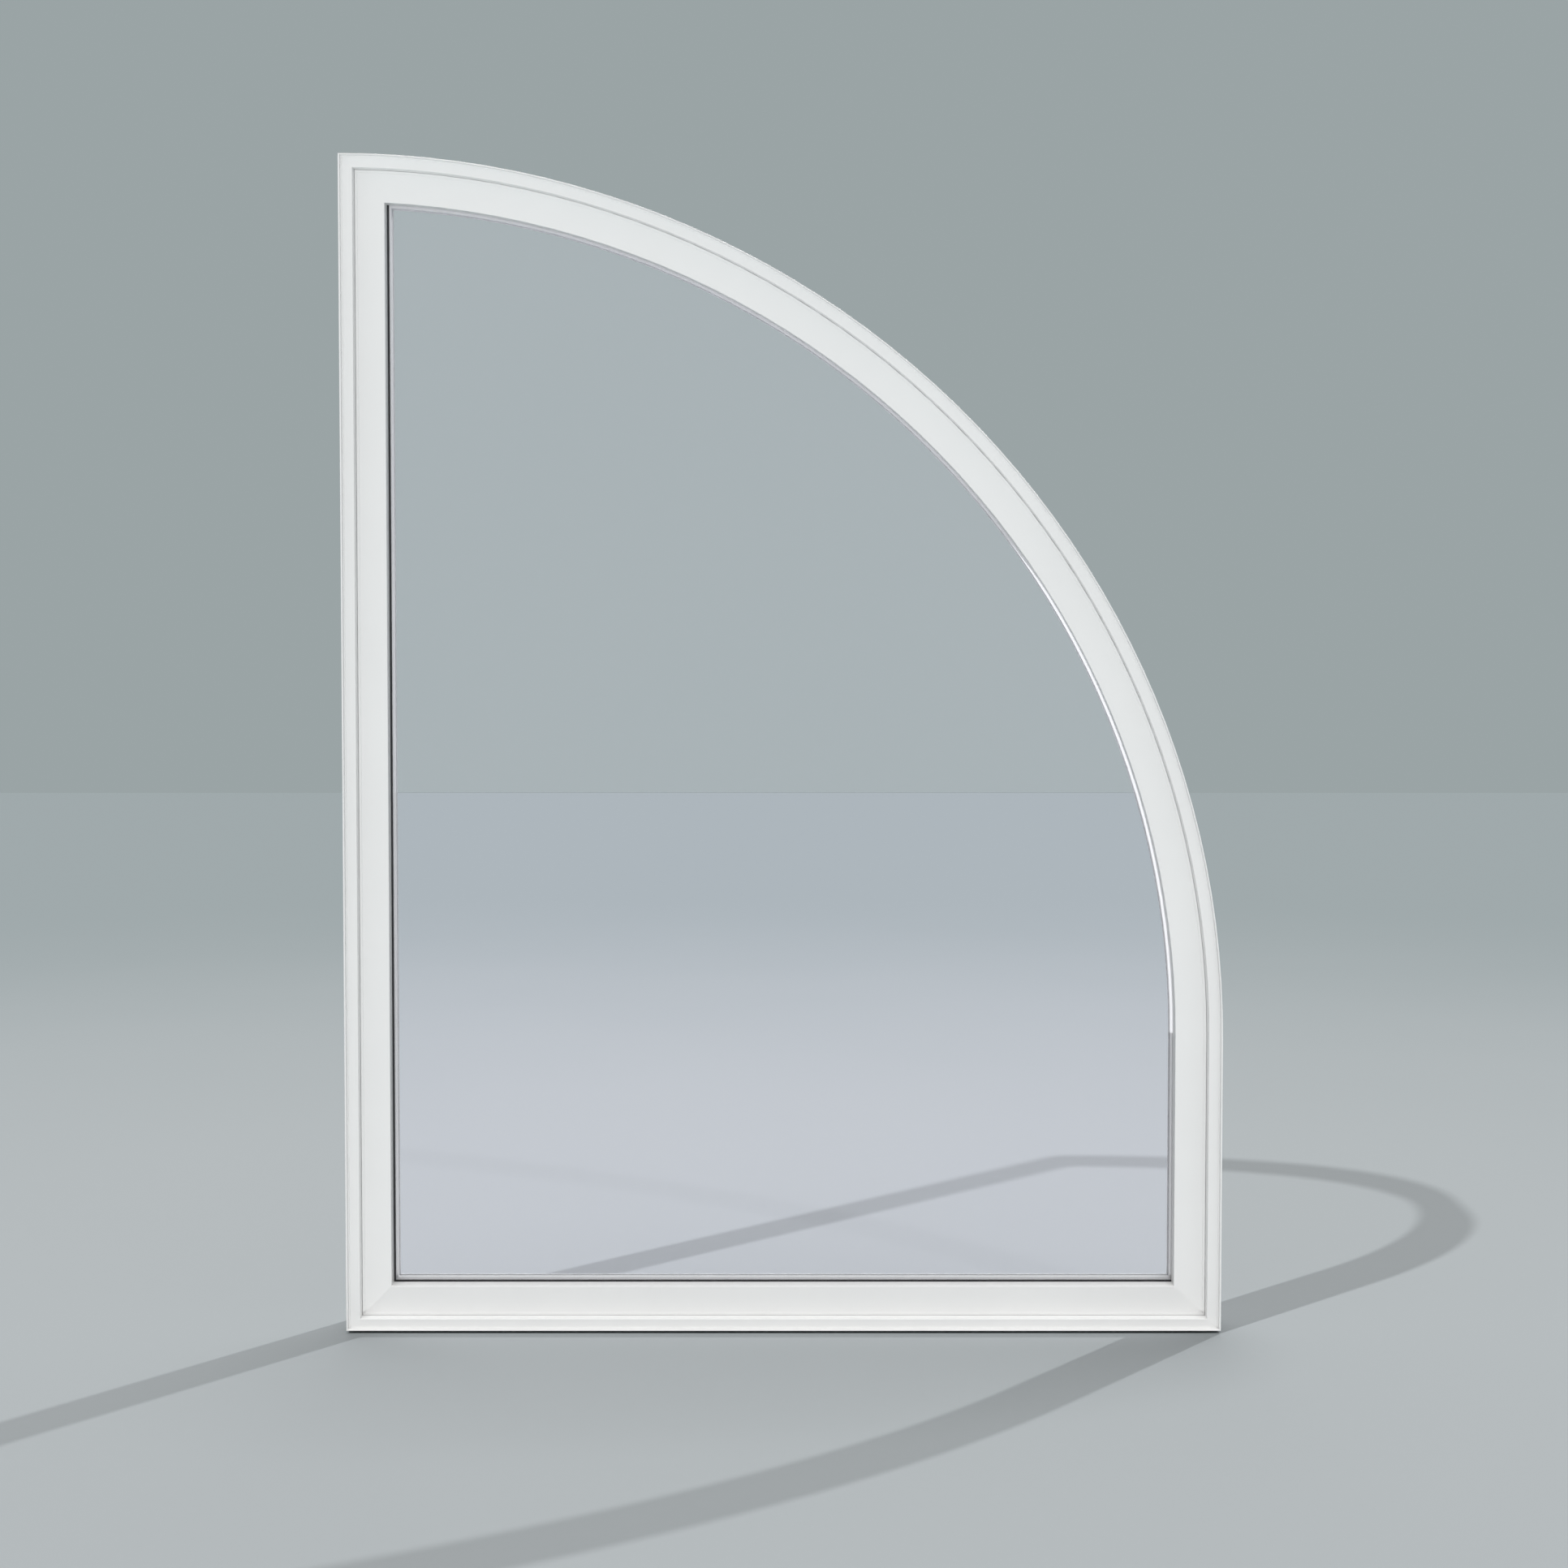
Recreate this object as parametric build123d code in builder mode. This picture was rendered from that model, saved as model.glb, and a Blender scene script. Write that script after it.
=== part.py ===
from build123d import *
import os
from math import acos, degrees, sqrt

os.makedirs("parts", exist_ok=True)

# A fixed quarter round window seen from outside: the straight jamb is at -X, the sill lies on
# the ground plane and the outside faces -Y. Lengths are in millimetres. An inset is measured
# inwards from the outer edge of the frame, and a depth backwards from its front lip.

# Outline: a quarter circle as wide as the window, standing on a short straight leg
width = 901.7
leg_height = 304.8
arch_radius = width
height = leg_height + arch_radius

# Face of the outer frame
lip_width = 1.7
lip_depth = 8.4
frame_ledge = 1.3
frame_width = 13.4

# Face of the sash, whose leg covers the edge of the glass
sash_ledge = 2.6
sash_face = 30.4
ledge_drop = 1.5
frame_reveal = 17.4
sash_reveal = 22.0

# Glazing unit and how far each part of it shows inside the sash
glass_bite = 8.6
edge_gap = 3.0
gasket_thickness = 1.5
gasket_lip = 1.9
pane_thickness = 3.0
glass_cavity = 9.0
spacer_height = 7.5
spacer_lip = 2.4

# Room side
bead_depth = 5.4
bead_edge = 1.4
bead_slope = 5.0
bead_gasket_lip = 0.8
stop_width = 4.6
stop_thickness = 3.5

# Grooves round the outside of the frame for fixing fins and cover trims
groove_width = 5.0
groove_depth = 4.0
front_groove = 19.0
back_groove = 16.0

# Rebate under the front of the sill, which lifts its lip off the ground
rebate_height = 2.5
rebate_depth = 14.0

# Fits and roundings
fit_clearance = 0.3
edge_radius = 0.6
back_radius = 1.5

# Distance inside the arch's outer face at which the frame's mitres start, clear of the edge
# where the round face of the arch touches its flat end
mitre_start = 0.1

# Depths of the layers, from the front lip to the back of the frame
frame_face_depth = lip_depth
sash_front = frame_face_depth + frame_reveal
sash_face_depth = sash_front + ledge_drop
outer_gasket_front = sash_face_depth + sash_reveal
outer_pane_front = outer_gasket_front + gasket_thickness
spacer_front = outer_pane_front + pane_thickness
inner_pane_front = spacer_front + glass_cavity
inner_gasket_front = inner_pane_front + pane_thickness
bead_front = inner_gasket_front + gasket_thickness
sash_back = bead_front + bead_depth
frame_depth = sash_back + stop_thickness

# Insets from the outer edge of the frame to the middle of the window. The sash is wider on
# the arch and the right jamb, where its leg covers the gasket.
stop_sight = frame_width + stop_width
sash_outer = frame_width + fit_clearance
sash_sight = frame_width + sash_face
gasket_sight = sash_sight + gasket_lip
spacer_sight = gasket_sight + spacer_lip
glass_edge = sash_sight - glass_bite
rebate_wall = glass_edge - edge_gap
spacer_back = spacer_sight - spacer_height

# Planes of the cross-sections: x runs inwards from the outer edge and y backwards from the
# front lip. Each plane faces the way its member is made, clockwise round the window.
left_edge, right_edge, front = -width / 2, width / 2, -frame_depth / 2
left_plane = Plane(origin=(left_edge, front, 0), x_dir=(1, 0, 0), z_dir=(0, 0, 1))
arch_plane = Plane(origin=(left_edge, front, height), x_dir=(0, 0, -1), z_dir=(1, 0, 0))
right_plane = Plane(origin=(right_edge, front, leg_height), x_dir=(-1, 0, 0), z_dir=(0, 0, -1))
bottom_plane = Plane(origin=(right_edge, front, 0), x_dir=(0, 0, 1), z_dir=(-1, 0, 0))
arch_axis = Axis((left_edge, 0, leg_height), (0, 1, 0))


def cross_section(plane, corners):
    """Closed profile on a plane, from corners given as inset, depth and rounding radius."""
    points = [(inset, depth) for inset, depth, radius in corners]
    radii = [radius for inset, depth, radius in corners]
    with BuildSketch(plane) as profile:
        with BuildLine():
            FilletPolyline(*points, radius=radii, close=True)
        make_face()
    return profile.sketch


def mitre(outer_corner, inner_corner):
    """Plane through two corners of a ring, facing the member that follows clockwise."""
    run, rise = inner_corner[0] - outer_corner[0], inner_corner[1] - outer_corner[1]
    return Plane(origin=(outer_corner[0], 0, outer_corner[1]), x_dir=(0, 1, 0), z_dir=(-rise, 0, run))


def ring_corners(left_inset, bottom_inset, round_inset):
    """Bottom left, bottom right and top left corners of the outline at given insets."""
    top = leg_height + sqrt((arch_radius - round_inset) ** 2 - left_inset**2)
    return (
        (left_edge + left_inset, bottom_inset),
        (right_edge - round_inset, bottom_inset),
        (left_edge + left_inset, top),
    )


def make_ring(names, sections, outer_insets, inner_insets):
    """Make the left, arch, right and bottom members of a ring, mitred where they meet.

    sections holds the profiles of the left, the arch and right, and the bottom members, and
    the insets of the two ends of the mitres are given in the same order.
    """
    outer_left, outer_round, outer_bottom = outer_insets
    inner_left, inner_round, inner_bottom = inner_insets
    outer_corners = ring_corners(outer_left, outer_bottom, outer_round)
    inner_corners = ring_corners(inner_left, inner_bottom, inner_round)
    bottom_left, bottom_right, top_left = map(mitre, outer_corners, inner_corners)
    left_section, round_section, bottom_section = sections

    with BuildPart() as left:
        extrude(cross_section(left_plane, left_section), amount=height)
        split(bisect_by=bottom_left, keep=Keep.TOP)
        split(bisect_by=top_left, keep=Keep.BOTTOM)

    # The plane of the top mitre also crosses the springing of the arch, so the arch is cut by a
    # face on it that is wider than the ring but ends above the springing.
    arch_mitre = Face.make_rect(2 * frame_depth, 4 * frame_depth, plane=top_left)
    with BuildPart() as arch:
        revolve(cross_section(arch_plane, round_section), axis=arch_axis, revolution_arc=90)
        split(bisect_by=arch_mitre, keep=Keep.TOP)

    with BuildPart() as right:
        extrude(cross_section(right_plane, round_section), amount=leg_height)
        split(bisect_by=bottom_right, keep=Keep.BOTTOM)

    with BuildPart() as bottom:
        extrude(cross_section(bottom_plane, bottom_section), amount=width)
        split(bisect_by=bottom_right, keep=Keep.TOP)
        split(bisect_by=bottom_left, keep=Keep.BOTTOM)

    for name, member in zip(names, (left, arch, right, bottom)):
        member.part.label = name
        export_step(member.part, f"parts/{name}.step")


def make_even_ring(names, corners_to, outer_inset, square_inset, round_inset):
    """Make a ring whose bottom member is like the left one.

    corners_to gives the profile's corners for an inner inset, which is square_inset on the
    left and bottom members and round_inset on the arch and the right one.
    """
    square_section = corners_to(square_inset)
    sections = (square_section, corners_to(round_inset), square_section)
    inner_insets = (square_inset, round_inset, square_inset)
    make_ring(names, sections, (outer_inset, outer_inset, outer_inset), inner_insets)


def make_pane(name, pane_front):
    """Make one sheet of glass, whose edge is hidden in the sash."""
    head_radius = arch_radius - glass_edge
    head_angle = degrees(acos(glass_edge / head_radius))
    with BuildPart() as pane:
        with BuildSketch(Plane.XZ.offset(frame_depth / 2 - pane_front)):
            with BuildLine():
                head = CenterArc((left_edge, leg_height), head_radius, 0, head_angle)
                left_foot = (left_edge + glass_edge, glass_edge)
                right_foot = (right_edge - glass_edge, glass_edge)
                Polyline(head @ 1, left_foot, right_foot, head @ 0)
            make_face()
        extrude(amount=-pane_thickness)
    pane.part.label = name
    export_step(pane.part, f"parts/{name}.step")


def lifted(inset, lift):
    """Where an inset of the frame comes to lie in a member whose front edge is lifted."""
    return lift + inset * (frame_width - lift) / frame_width


def frame_corners(lift):
    """Outer frame: front lip, fine ledge, face, stop behind the sash and fixing grooves.

    The front of the profile starts at the lift, behind which a rebate leads to its foot.
    """
    lip_radius = min(edge_radius, lip_width / 3)
    lip_inset, ledge_inset = lifted(lip_width, lift), lifted(lip_width + frame_ledge, lift)
    stop_inset, groove_inset = lifted(stop_sight, lift), lifted(groove_depth, lift)
    ledge_depth = frame_face_depth - ledge_drop
    front_groove_end = front_groove + groove_width
    back_groove_end = frame_depth - back_groove
    back_groove_start = back_groove_end - groove_width
    corners = [
        (lift, 0, lip_radius),
        (lip_inset, 0, lip_radius),
        (lip_inset, ledge_depth, 0),
        (ledge_inset, ledge_depth, 0),
        (ledge_inset, frame_face_depth, 0),
        (frame_width, frame_face_depth, edge_radius),
        (frame_width, sash_back, 0),
        (stop_inset, sash_back, 0),
        (stop_inset, frame_depth, back_radius),
        (0, frame_depth, back_radius),
        (0, back_groove_end, 0),
        (groove_inset, back_groove_end, 0),
        (groove_inset, back_groove_start, 0),
        (0, back_groove_start, 0),
        (0, front_groove_end, 0),
        (groove_inset, front_groove_end, 0),
        (groove_inset, front_groove, 0),
        (0, front_groove, 0),
    ]
    if lift > 0:
        corners += [(0, rebate_depth, 0), (lift, rebate_depth, 0)]
    return corners


def sash_corners(inner_inset):
    """Fixed sash: wide stepped face whose leg covers the glass, and a rebate behind it."""
    ledge_inset = sash_outer + sash_ledge
    return [
        (sash_outer, sash_front, 0),
        (ledge_inset, sash_front, 0),
        (ledge_inset, sash_face_depth, 0),
        (inner_inset, sash_face_depth, edge_radius),
        (inner_inset, outer_gasket_front, 0),
        (rebate_wall, outer_gasket_front, 0),
        (rebate_wall, sash_back, 0),
        (sash_outer, sash_back, 0),
    ]


def outer_gasket_corners(inner_inset):
    """Black strip between the sash leg and the outer pane."""
    return [
        (glass_edge, outer_gasket_front, 0),
        (inner_inset, outer_gasket_front, 0),
        (inner_inset, outer_pane_front, 0),
        (glass_edge, outer_pane_front, 0),
    ]


def spacer_corners(inner_inset):
    """White bar that keeps the two panes apart."""
    return [
        (spacer_back, spacer_front, 0),
        (inner_inset, spacer_front, 0),
        (inner_inset, inner_pane_front, 0),
        (spacer_back, inner_pane_front, 0),
    ]


def inner_gasket_corners(inner_inset):
    """Black strip between the inner pane and the glazing bead."""
    return [
        (glass_edge, inner_gasket_front, 0),
        (inner_inset, inner_gasket_front, 0),
        (inner_inset, bead_front, 0),
        (glass_edge, bead_front, 0),
    ]


def bead_corners(inner_inset):
    """Bevelled bead on the room side that presses the glazing unit against the sash leg."""
    return [
        (rebate_wall + fit_clearance, bead_front, 0),
        (inner_inset, bead_front, 0),
        (inner_inset, bead_front + bead_edge, 0),
        (inner_inset - bead_slope, sash_back, 0),
        (rebate_wall + fit_clearance, sash_back, 0),
    ]


frame_names = ("frame_left_jamb", "frame_arch", "frame_right_jamb", "frame_sill")
jamb_section = frame_corners(0)
frame_sections = (jamb_section, jamb_section, frame_corners(rebate_height))
stop_insets = (stop_sight, stop_sight, lifted(stop_sight, rebate_height))
make_ring(frame_names, frame_sections, (0, mitre_start, rebate_height), stop_insets)

sash_names = ("sash_left_stile", "sash_arch_rail", "sash_right_stile", "sash_bottom_rail")
make_even_ring(sash_names, sash_corners, sash_outer, sash_sight, gasket_sight)

sides = ("left", "arch", "right", "bottom")
outer_gasket_names = [f"outer_gasket_{side}" for side in sides]
make_even_ring(outer_gasket_names, outer_gasket_corners, glass_edge, gasket_sight, gasket_sight)

spacer_names = [f"spacer_{side}" for side in sides]
make_even_ring(spacer_names, spacer_corners, spacer_back, spacer_sight, spacer_sight)

inner_gasket_sight = spacer_sight + bead_gasket_lip
inner_gasket_names = [f"inner_gasket_{side}" for side in sides]
make_even_ring(inner_gasket_names, inner_gasket_corners, glass_edge, inner_gasket_sight, inner_gasket_sight)

bead_names = [f"glazing_bead_{side}" for side in sides]
make_even_ring(bead_names, bead_corners, rebate_wall + fit_clearance, spacer_sight, spacer_sight)

make_pane("outer_glass_pane", outer_pane_front)
make_pane("inner_glass_pane", inner_pane_front)
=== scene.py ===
import math

import bpy
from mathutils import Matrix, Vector

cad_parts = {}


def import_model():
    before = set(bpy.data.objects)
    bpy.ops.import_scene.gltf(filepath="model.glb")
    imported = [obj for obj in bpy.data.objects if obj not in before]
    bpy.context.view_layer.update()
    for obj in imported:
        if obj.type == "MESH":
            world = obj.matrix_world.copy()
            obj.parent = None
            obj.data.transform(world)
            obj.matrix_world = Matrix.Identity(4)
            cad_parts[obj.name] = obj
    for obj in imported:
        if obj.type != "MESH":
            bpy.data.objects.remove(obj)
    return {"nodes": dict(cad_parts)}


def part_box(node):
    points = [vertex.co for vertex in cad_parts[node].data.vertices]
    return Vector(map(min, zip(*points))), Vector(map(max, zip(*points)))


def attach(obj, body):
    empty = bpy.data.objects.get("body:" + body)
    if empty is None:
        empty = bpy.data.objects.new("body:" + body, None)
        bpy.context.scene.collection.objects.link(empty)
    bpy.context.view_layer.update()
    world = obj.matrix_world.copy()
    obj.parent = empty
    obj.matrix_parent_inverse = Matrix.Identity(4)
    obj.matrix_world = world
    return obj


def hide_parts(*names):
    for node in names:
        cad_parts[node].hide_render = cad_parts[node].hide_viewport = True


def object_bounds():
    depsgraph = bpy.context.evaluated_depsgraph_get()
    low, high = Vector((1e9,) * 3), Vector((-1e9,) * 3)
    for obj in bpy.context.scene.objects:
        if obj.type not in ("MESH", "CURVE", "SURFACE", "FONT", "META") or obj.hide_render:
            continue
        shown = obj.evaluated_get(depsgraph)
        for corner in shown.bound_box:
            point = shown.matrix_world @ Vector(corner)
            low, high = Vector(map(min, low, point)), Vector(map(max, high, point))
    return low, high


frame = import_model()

cad_low, cad_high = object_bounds()
nodes = frame["nodes"]

# Sides of the window, the nodes of frame and sash in the order of the sides, and the panes
SIDES = ("left", "arch", "right", "bottom")
FRAME_NODES = ("frame_left_jamb", "frame_arch", "frame_right_jamb", "frame_sill")
SASH_NODES = ("sash_left_stile", "sash_arch_rail", "sash_right_stile", "sash_bottom_rail")
PANE_NODES = ("outer_glass_pane", "inner_glass_pane")

# Colours, in linear light
PLASTIC_WHITE = (0.80, 0.80, 0.795)
SPACER_WHITE = (0.88, 0.88, 0.90)
# Black of the outer gaskets at the left and the bottom: painted shade, a shadow line along the glazing
# gap
PAINTED_SHADE_BLACK = (0.022, 0.022, 0.025)
GASKET_GREY = (0.74, 0.74, 0.77)
GLASS_CLEAR = (1.0, 1.0, 1.0)
GLASS_DUSTY = (0.988, 0.991, 0.995)
GLASS_SHADE = (0.985, 0.985, 0.985)
# Floor colours inside and outside the painted pool of light round the window
FLOOR_NEAR = (0.200, 0.215, 0.221)
FLOOR_FAR = (0.149, 0.170, 0.175)
BACKDROP = (0.325, 0.371, 0.378)
FILL_LIGHT = (0.62, 0.615, 0.61)
MIRRORED_ROOM = (0.85, 0.92, 1.0)

# Refraction of plastic and of glass
PLASTIC_IOR = 1.5
GLASS_IOR = 1.5

# Plastic: how rough it is, and how far its textures shift roughness, tone and relief
PLASTIC_ROUGHNESS = 0.36
SPACER_ROUGHNESS = 0.5
ROUGHNESS_SHIFTS = (-0.04, 0.05)
PLASTIC_TONES = (0.985, 1.01)
MOTTLE_SPAN = (0.3, 0.7)
DIE_LINE_STRETCH = (900, 900, 1.5)
DIE_LINES = {"Scale": 1.0, "Detail": 3.0, "Roughness": 0.6}
ORANGE_PEEL = {"Scale": 220.0, "Detail": 2.0}
MOTTLE = {"Scale": 6.0, "Detail": 4.0, "Roughness": 0.55}
PLASTIC_RELIEF = {"Strength": 0.1, "Distance": 0.00002}

# Gasket rubber and glass: roughness, tones and textures
RUBBER_ROUGHNESS = 0.6
RUBBER_TONES = (0.8, 1.3)
RUBBER_GRAIN = {"Scale": 700.0, "Detail": 3.0}
RUBBER_RELIEF = {"Strength": 0.3, "Distance": 0.00005}
GLASS_SMEARS = {"Scale": 3.0, "Detail": 5.0, "Roughness": 0.6}

# Gap between the drawn panes and what holds them, so that no two faces lie in one plane
PANE_GAP = 0.00005

# Floor: half its width and half its depth, and the radii between which its painted pool of light fades
# darker
FLOOR_HALF_WIDTH = 20.0
FLOOR_HALF_DEPTH = 9.3
FLOOR_LIT_RADIUS = 1.3
FLOOR_DIM_RADIUS = 5.5
FLOOR_CLOUDS = {"Scale": 0.7, "Detail": 3.0}
FLOOR_ROUGHNESS = 0.9

# Factor on the floor's colour for the light that it throws on the window
FLOOR_BOUNCE = 1.5

# Share by which the floor shows lighter through the glass: a painted reflection of the glass
PAINTED_GLASS_REFLECTION = (0.215, 0.19, 0.245)

# Camera: the distance is from the lip of the frame, the height from the floor
CAMERA_DISTANCE = 3.4138
CAMERA_HEIGHT = 0.7626
CAMERA_SIDE = 0.0004
CAMERA_PITCH = math.radians(3.27)
CAMERA_LENS = 76.86
CAMERA_SENSOR = 36.0
CAMERA_CLIP = (0.05, 60.0)

# Lamps: the way their light travels, the light on a face square to it, and their softness in degrees
FRONT_LAMP = ((0, 1, 0.25), 0.37, 10)
LOW_FRONT_LAMP = ((0, 0.5, -1), 0.64, 40)
OVERHEAD_LAMP = ((0, -0.25, -1), 0.50, 20)
REAR_LAMP = ((0, -1, -0.2), 0.25, 20)
LEFT_SHADOW_LAMP = ((0.679, 0.847, -1), 0.97, 1)
REAR_SHADOW_LAMP = ((-0.624, -1.025, -1), 0.85, 1)

# Pieces near the floor that the low front lamp lights, in place of the front lamp
LOW_NODES = ("frame_sill", "sash_bottom_rail", "spacer_bottom", "inner_gasket_bottom")

# Pieces that the shadow lamps light besides the floor
SHADOW_LIT_NODES = ("spacer_left", "spacer_arch")

# Centre of the arch, at the low corner of its node's box
arch_low, arch_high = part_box("frame_arch")
ARCH_CENTRE = (arch_low.x, arch_low.z)


def new_material(name):
    """An empty node material, with its nodes, its links and its output."""
    material = bpy.data.materials.new(name)
    material.use_nodes = True
    tree = material.node_tree
    tree.nodes.clear()
    output = tree.nodes.new("ShaderNodeOutputMaterial")
    return material, tree.nodes, tree.links, output


def add_node(shader_nodes, kind, **settings):
    """A node of a kind, with its properties or, by socket name, its input values."""
    node = shader_nodes.new(kind)
    for name, value in settings.items():
        if hasattr(node, name):
            setattr(node, name, value)
        else:
            node.inputs[name.replace("_", " ")].default_value = value
    return node


def calculated(shader_nodes, links, operation, first, second):
    """Result of a calculation with one socket and either a second socket or a number."""
    step = add_node(shader_nodes, "ShaderNodeMath", operation=operation)
    links.new(first, step.inputs[0])
    if isinstance(second, bpy.types.NodeSocket):
        links.new(second, step.inputs[1])
    else:
        step.inputs[1].default_value = second
    return step.outputs[0]


def object_place(shader_nodes):
    """Place on the object, as a vector."""
    return add_node(shader_nodes, "ShaderNodeTexCoord").outputs["Object"]


def noise(shader_nodes, links, place, settings):
    """Value of a noise texture at a place."""
    texture = add_node(shader_nodes, "ShaderNodeTexNoise", **settings)
    links.new(place, texture.inputs["Vector"])
    return texture.outputs["Fac"]


def toned(shader_nodes, links, share, colours, span=(0.0, 1.0)):
    """Colour that goes from the first of two to the second while a share crosses the span."""
    ramp = add_node(shader_nodes, "ShaderNodeValToRGB")
    for stop, position, colour in zip(ramp.color_ramp.elements, span, colours):
        stop.position = position
        stop.color = (*colour, 1)
    links.new(share, ramp.inputs["Fac"])
    return ramp.outputs["Color"]


def tones_of(colour, factors):
    """A colour made darker or lighter by each factor."""
    return [[channel * factor for channel in colour] for factor in factors]


def relief(shader_nodes, links, height, settings):
    """Bump node that raises the surface by a height."""
    bump = add_node(shader_nodes, "ShaderNodeBump", **settings)
    links.new(height, bump.inputs["Height"])
    return bump


def mixed(shader_nodes, links, share, first, second):
    """Shader that goes from the first to the second with a share."""
    mix = add_node(shader_nodes, "ShaderNodeMixShader")
    for source, socket in zip((share, first, second), mix.inputs):
        links.new(source, socket)
    return mix.outputs[0]


def arch_coordinates(shader_nodes, links, parts):
    """Distance from the arch's centre, and angle round it."""
    offset_x, offset_z = [calculated(shader_nodes, links, "SUBTRACT", parts.outputs[axis], centre)
                          for axis, centre in zip("XZ", ARCH_CENTRE)]
    flat = add_node(shader_nodes, "ShaderNodeCombineXYZ")
    links.new(offset_x, flat.inputs["X"])
    links.new(offset_z, flat.inputs["Z"])
    radius = add_node(shader_nodes, "ShaderNodeVectorMath", operation="LENGTH")
    links.new(flat.outputs[0], radius.inputs[0])
    return radius.outputs["Value"], calculated(shader_nodes, links, "ARCTAN2", offset_z, offset_x)


def section_coordinates(shader_nodes, links, side):
    """Vector of the place across the profile, the depth, and the place along the member.

    Extruded plastic has faint lines that run along each member, so its texture is looked up by
    these and stretched along the member.
    """
    parts = add_node(shader_nodes, "ShaderNodeSeparateXYZ")
    links.new(object_place(shader_nodes), parts.inputs["Vector"])
    if side == "arch":
        across, along = arch_coordinates(shader_nodes, links, parts)
    elif side == "bottom":
        across, along = parts.outputs["Z"], parts.outputs["X"]
    else:
        across, along = parts.outputs["X"], parts.outputs["Z"]
    section = add_node(shader_nodes, "ShaderNodeCombineXYZ")
    for source, axis in ((across, "X"), (parts.outputs["Y"], "Y"), (along, "Z")):
        links.new(source, section.inputs[axis])
    return section.outputs[0]


def plastic(name, colour, side, roughness):
    """Extruded plastic: nearly even colour, faint lines along the member and a satin gloss."""
    material, shader_nodes, links, output = new_material(name)
    stretched = add_node(shader_nodes, "ShaderNodeMapping", Scale=DIE_LINE_STRETCH)
    links.new(section_coordinates(shader_nodes, links, side), stretched.inputs["Vector"])
    die_lines = noise(shader_nodes, links, stretched.outputs[0], DIE_LINES)
    place = object_place(shader_nodes)
    orange_peel = noise(shader_nodes, links, place, ORANGE_PEEL)
    mottle = noise(shader_nodes, links, place, MOTTLE)

    tone = toned(shader_nodes, links, mottle, tones_of(colour, PLASTIC_TONES), MOTTLE_SPAN)
    least, most = [roughness + shift for shift in ROUGHNESS_SHIFTS]
    gloss = add_node(shader_nodes, "ShaderNodeMapRange", To_Min=least, To_Max=most)
    links.new(die_lines, gloss.inputs["Value"])
    fine = relief(shader_nodes, links, die_lines, PLASTIC_RELIEF)
    skin = relief(shader_nodes, links, orange_peel, PLASTIC_RELIEF)
    links.new(fine.outputs[0], skin.inputs["Normal"])

    surface = add_node(shader_nodes, "ShaderNodeBsdfPrincipled", IOR=PLASTIC_IOR)
    links.new(tone, surface.inputs["Base Color"])
    links.new(gloss.outputs[0], surface.inputs["Roughness"])
    links.new(skin.outputs[0], surface.inputs["Normal"])
    links.new(surface.outputs[0], output.inputs["Surface"])
    return material


def rubber(name, colour):
    """Gasket rubber: matt, with a slight grain."""
    material, shader_nodes, links, output = new_material(name)
    grain = noise(shader_nodes, links, object_place(shader_nodes), RUBBER_GRAIN)
    tone = toned(shader_nodes, links, grain, tones_of(colour, RUBBER_TONES))
    bump = relief(shader_nodes, links, grain, RUBBER_RELIEF)
    surface = add_node(shader_nodes, "ShaderNodeBsdfPrincipled", Roughness=RUBBER_ROUGHNESS)
    links.new(tone, surface.inputs["Base Color"])
    links.new(bump.outputs[0], surface.inputs["Normal"])
    links.new(surface.outputs[0], output.inputs["Surface"])
    return material


def glass():
    """Clear float glass, very slightly uneven in colour. Lamps shine through it."""
    material, shader_nodes, links, output = new_material("clear_glass")
    smears = noise(shader_nodes, links, object_place(shader_nodes), GLASS_SMEARS)
    tone = toned(shader_nodes, links, smears, (GLASS_DUSTY, GLASS_CLEAR))
    clear = add_node(shader_nodes, "ShaderNodeBsdfPrincipled", Roughness=0.0, IOR=GLASS_IOR)
    clear.inputs["Transmission Weight"].default_value = 1.0
    links.new(tone, clear.inputs["Base Color"])

    rays = add_node(shader_nodes, "ShaderNodeLightPath")
    through = add_node(shader_nodes, "ShaderNodeBsdfTransparent", Color=(*GLASS_SHADE, 1))
    lit = mixed(shader_nodes, links, rays.outputs["Is Shadow Ray"], clear.outputs[0], through.outputs[0])
    links.new(lit, output.inputs["Surface"])
    return material


def dress(node_name, material):
    """Give a CAD node its material."""
    mesh = nodes[node_name].data
    mesh.materials.clear()
    mesh.materials.append(material)


def draw_pane(node_name, material):
    """A pane with the outline of its node, thinner by the gap on both sides."""
    low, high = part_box(node_name)
    middle = (low.y + high.y) / 2
    share = 1 - 2 * PANE_GAP / (high.y - low.y)
    mesh = nodes[node_name].data.copy()
    for point in mesh.vertices:
        point.co.y = middle + (point.co.y - middle) * share
    mesh.materials.clear()
    mesh.materials.append(material)
    piece = bpy.data.objects.new(f"clear_{node_name}", mesh)
    bpy.context.scene.collection.objects.link(piece)
    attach(piece, "root")
    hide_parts(node_name)
    return piece


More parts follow.
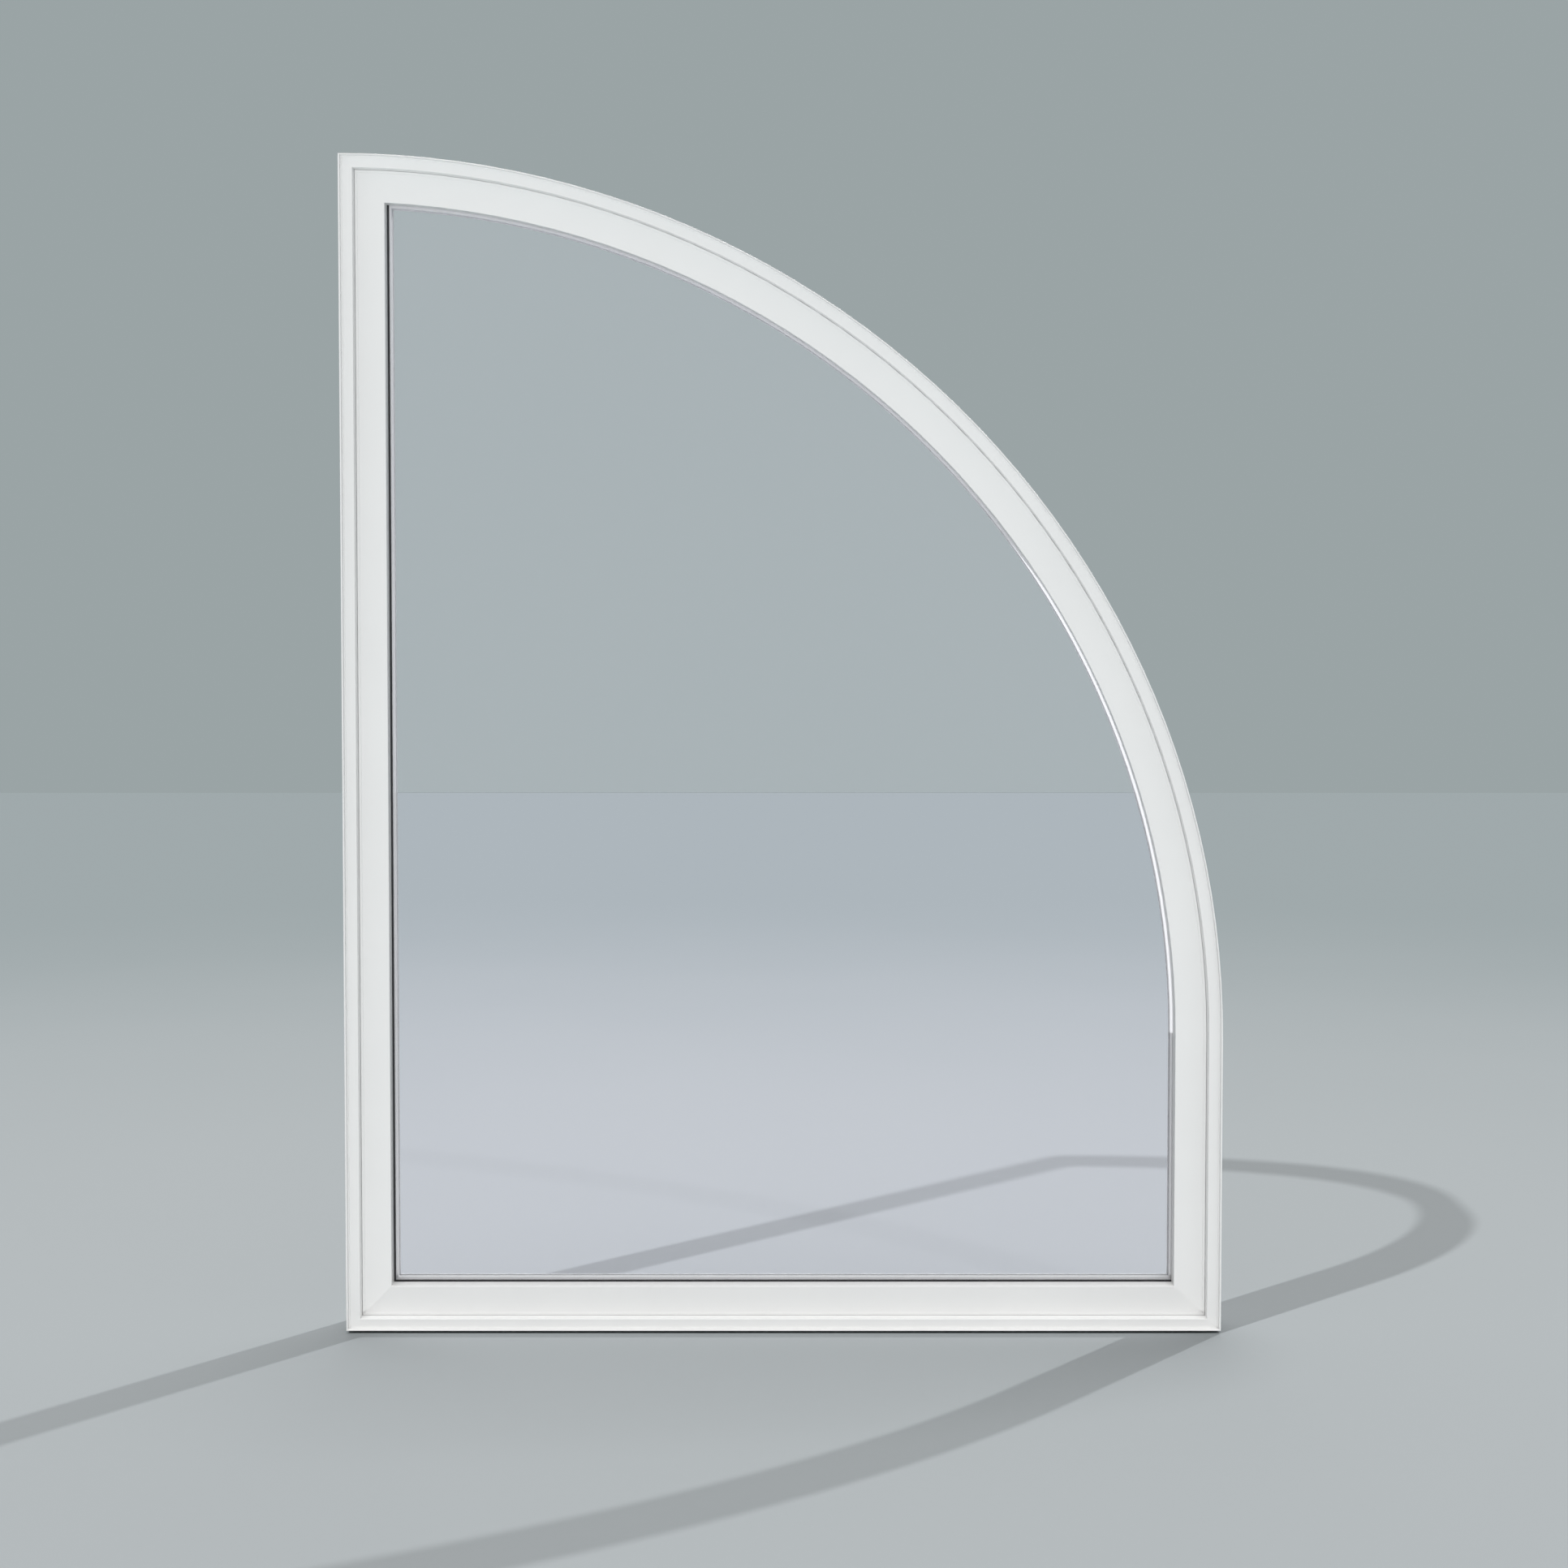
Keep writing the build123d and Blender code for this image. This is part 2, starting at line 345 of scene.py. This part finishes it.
def dress_window():
    """Materials of every piece of the window. Returns the drawn panes.

    The outer gaskets at the left and the bottom are black, as painted shade along the glazing gap there,
    and the gaskets elsewhere are grey.
    """
    painted_shade_rubber = rubber("painted_shade_rubber", PAINTED_SHADE_BLACK)
    grey_rubber = rubber("grey_rubber", GASKET_GREY)
    for side, frame_node, sash_node in zip(SIDES, FRAME_NODES, SASH_NODES):
        white = plastic(f"white_plastic_{side}", PLASTIC_WHITE, side, PLASTIC_ROUGHNESS)
        for node_name in (frame_node, sash_node, f"glazing_bead_{side}"):
            dress(node_name, white)
        dress(f"spacer_{side}", plastic(f"spacer_{side}", SPACER_WHITE, side, SPACER_ROUGHNESS))
        # The outer gaskets at the left and the bottom get black rubber as painted shade; the others are
        # grey
        dress(f"outer_gasket_{side}", painted_shade_rubber if side in ("left", "bottom") else grey_rubber)
        dress(f"inner_gasket_{side}", grey_rubber)
    pane = glass()
    return [draw_pane(node_name, pane) for node_name in PANE_NODES]


def before_bounce(shader_nodes, links, rays, kind):
    """1 as long as a ray from the camera has had no bounce of a kind, then 0."""
    return calculated(shader_nodes, links, "LESS_THAN", rays.outputs[f"{kind} Depth"], 0.5)


def floor_tone_with_painted_light(shader_nodes, links):
    """The floor's colour with a painted pool of light: a little brighter round the window, with a cloudy
    edge.
    """
    place = object_place(shader_nodes)
    away = add_node(shader_nodes, "ShaderNodeVectorMath", operation="LENGTH")
    links.new(place, away.inputs[0])
    clouds = noise(shader_nodes, links, place, FLOOR_CLOUDS)
    uneven = calculated(shader_nodes, links, "ADD", away.outputs["Value"], clouds)
    fade = add_node(shader_nodes, "ShaderNodeMapRange", interpolation_type="SMOOTHSTEP",
                    From_Min=FLOOR_LIT_RADIUS, From_Max=FLOOR_DIM_RADIUS)
    links.new(uneven, fade.inputs["Value"])
    return toned(shader_nodes, links, fade.outputs[0], (FLOOR_NEAR, FLOOR_FAR))


def thrown_back(shader_nodes, links, rays, colour):
    """The floor's colour, stronger for the light that it throws on the window."""
    bounce = add_node(shader_nodes, "ShaderNodeMapRange", To_Min=FLOOR_BOUNCE, To_Max=1.0)
    links.new(before_bounce(shader_nodes, links, rays, "Diffuse"), bounce.inputs["Value"])
    stronger = add_node(shader_nodes, "ShaderNodeVectorMath", operation="SCALE")
    links.new(colour, stronger.inputs[0])
    links.new(bounce.outputs[0], stronger.inputs["Scale"])
    return stronger.outputs[0]


def with_painted_reflection(shader_nodes, links, rays, colour):
    """The floor's colour, lighter where it shows through the glass: a painted reflection of the glass.
    """
    painted_reflection = add_node(shader_nodes, "ShaderNodeVectorMath", operation="SCALE")
    painted_reflection.inputs[0].default_value = PAINTED_GLASS_REFLECTION
    links.new(rays.outputs["Is Transmission Ray"], painted_reflection.inputs["Scale"])
    lighter = add_node(shader_nodes, "ShaderNodeVectorMath", operation="MULTIPLY_ADD")
    for source, socket in zip((colour, painted_reflection.outputs[0], colour), lighter.inputs):
        links.new(source, socket)
    return lighter.outputs[0]


def floor():
    """Plain pale floor that reaches the photograph's horizon."""
    bpy.ops.mesh.primitive_plane_add(size=2, location=(0, 0, 0))
    ground = bpy.context.object
    ground.name = "floor"
    for corner in ground.data.vertices:
        corner.co.x *= FLOOR_HALF_WIDTH
        corner.co.y *= FLOOR_HALF_DEPTH
    material, shader_nodes, links, output = new_material("pale_floor")
    rays = add_node(shader_nodes, "ShaderNodeLightPath")
    tone = thrown_back(shader_nodes, links, rays, floor_tone_with_painted_light(shader_nodes, links))
    surface = add_node(shader_nodes, "ShaderNodeBsdfPrincipled", Roughness=FLOOR_ROUGHNESS)
    surface.inputs["Specular IOR Level"].default_value = 0.0
    # Seen through the glass, the floor carries a painted reflection of the glass
    links.new(with_painted_reflection(shader_nodes, links, rays, tone), surface.inputs["Base Color"])
    links.new(surface.outputs[0], output.inputs["Surface"])
    ground.data.materials.append(material)
    return ground


def world():
    """Even soft light from all round, with a plain grey backdrop behind the window.

    The camera sees the backdrop, straight or through the glass. Mirrored rays see a bright room, and
    rays that have met a matt surface see the soft light.
    """
    room = bpy.data.worlds.new("studio")
    bpy.context.scene.world = room
    room.use_nodes = True
    shader_nodes, links = room.node_tree.nodes, room.node_tree.links
    shader_nodes.clear()
    output = add_node(shader_nodes, "ShaderNodeOutputWorld")
    fill, mirrored, backdrop = [
        add_node(shader_nodes, "ShaderNodeBackground", Color=(*colour, 1), Strength=1.0).outputs[0]
        for colour in (FILL_LIGHT, MIRRORED_ROOM, BACKDROP)]

    rays = add_node(shader_nodes, "ShaderNodeLightPath")
    undiffused = before_bounce(shader_nodes, links, rays, "Diffuse")
    unmirrored = before_bounce(shader_nodes, links, rays, "Glossy")
    straight = calculated(shader_nodes, links, "MULTIPLY", undiffused, unmirrored)
    reflected = calculated(shader_nodes, links, "MULTIPLY", rays.outputs["Is Glossy Ray"], undiffused)
    through = calculated(shader_nodes, links, "MULTIPLY", rays.outputs["Is Transmission Ray"], straight)
    seen = calculated(shader_nodes, links, "MAXIMUM", rays.outputs["Is Camera Ray"], through)
    around = mixed(shader_nodes, links, reflected, fill, mirrored)
    links.new(mixed(shader_nodes, links, seen, around, backdrop), output.inputs["Surface"])


def sun(name, lamp_values, only_on=None, stopped_by=None):
    """A distant lamp. It may light, or be stopped by, the objects of one collection alone."""
    travel, light, softness = lamp_values
    lamp = bpy.data.lights.new(name, "SUN")
    lamp.energy = light * math.pi
    lamp.angle = math.radians(softness)
    holder = bpy.data.objects.new(name, lamp)
    bpy.context.scene.collection.objects.link(holder)
    holder.rotation_mode = "QUATERNION"
    holder.rotation_quaternion = Vector(travel).to_track_quat("-Z", "Y")
    holder.visible_glossy = False
    holder.visible_transmission = False
    if only_on:
        holder.light_linking.receiver_collection = only_on
    if stopped_by:
        holder.light_linking.blocker_collection = stopped_by


def group_of(name, members):
    """A collection of the only objects that a lamp lights, or that stop it."""
    group = bpy.data.collections.new(name)
    for member in members:
        group.objects.link(member)
    return group


def lights(ground, panes):
    """Soft light on the window, and two crossed lamps that lay its hard shadows on the floor.

    The bottom members get more from above, on their ledges, and less from the front, because the
    ledges throw light on the faces beside them. The front lamp shines from below the floor's level,
    into the recesses under the arch, so the floor doesn't stop it.
    """
    low_members = [nodes[name] for name in LOW_NODES]
    high_members = [node for node in nodes.values() if node not in low_members] + panes
    window = group_of("window", [*nodes.values(), *panes])
    sun("front", FRONT_LAMP, group_of("high_members", high_members), window)
    sun("low_front", LOW_FRONT_LAMP, group_of("low_members", low_members))
    sun("overhead", OVERHEAD_LAMP)
    sun("rear", REAR_LAMP)
    shadow_floor = group_of("shadow_floor", [ground] + [nodes[name] for name in SHADOW_LIT_NODES])
    sun("left_shadow", LEFT_SHADOW_LAMP, shadow_floor)
    sun("rear_shadow", REAR_SHADOW_LAMP, shadow_floor)


def camera():
    """Camera at the photograph's place and angle."""
    eye = bpy.data.cameras.new("camera")
    eye.sensor_width = CAMERA_SENSOR
    eye.lens = CAMERA_LENS
    eye.clip_start, eye.clip_end = CAMERA_CLIP
    holder = bpy.data.objects.new("camera", eye)
    bpy.context.scene.collection.objects.link(holder)
    holder.location = (CAMERA_SIDE, cad_low.y - CAMERA_DISTANCE, cad_low.z + CAMERA_HEIGHT)
    holder.rotation_euler = (math.pi / 2 - CAMERA_PITCH, 0, 0)
    bpy.context.scene.camera = holder


drawn_panes = dress_window()
plain_floor = floor()
world()
lights(plain_floor, drawn_panes)
camera()
bpy.context.scene.view_settings.view_transform = "Standard"
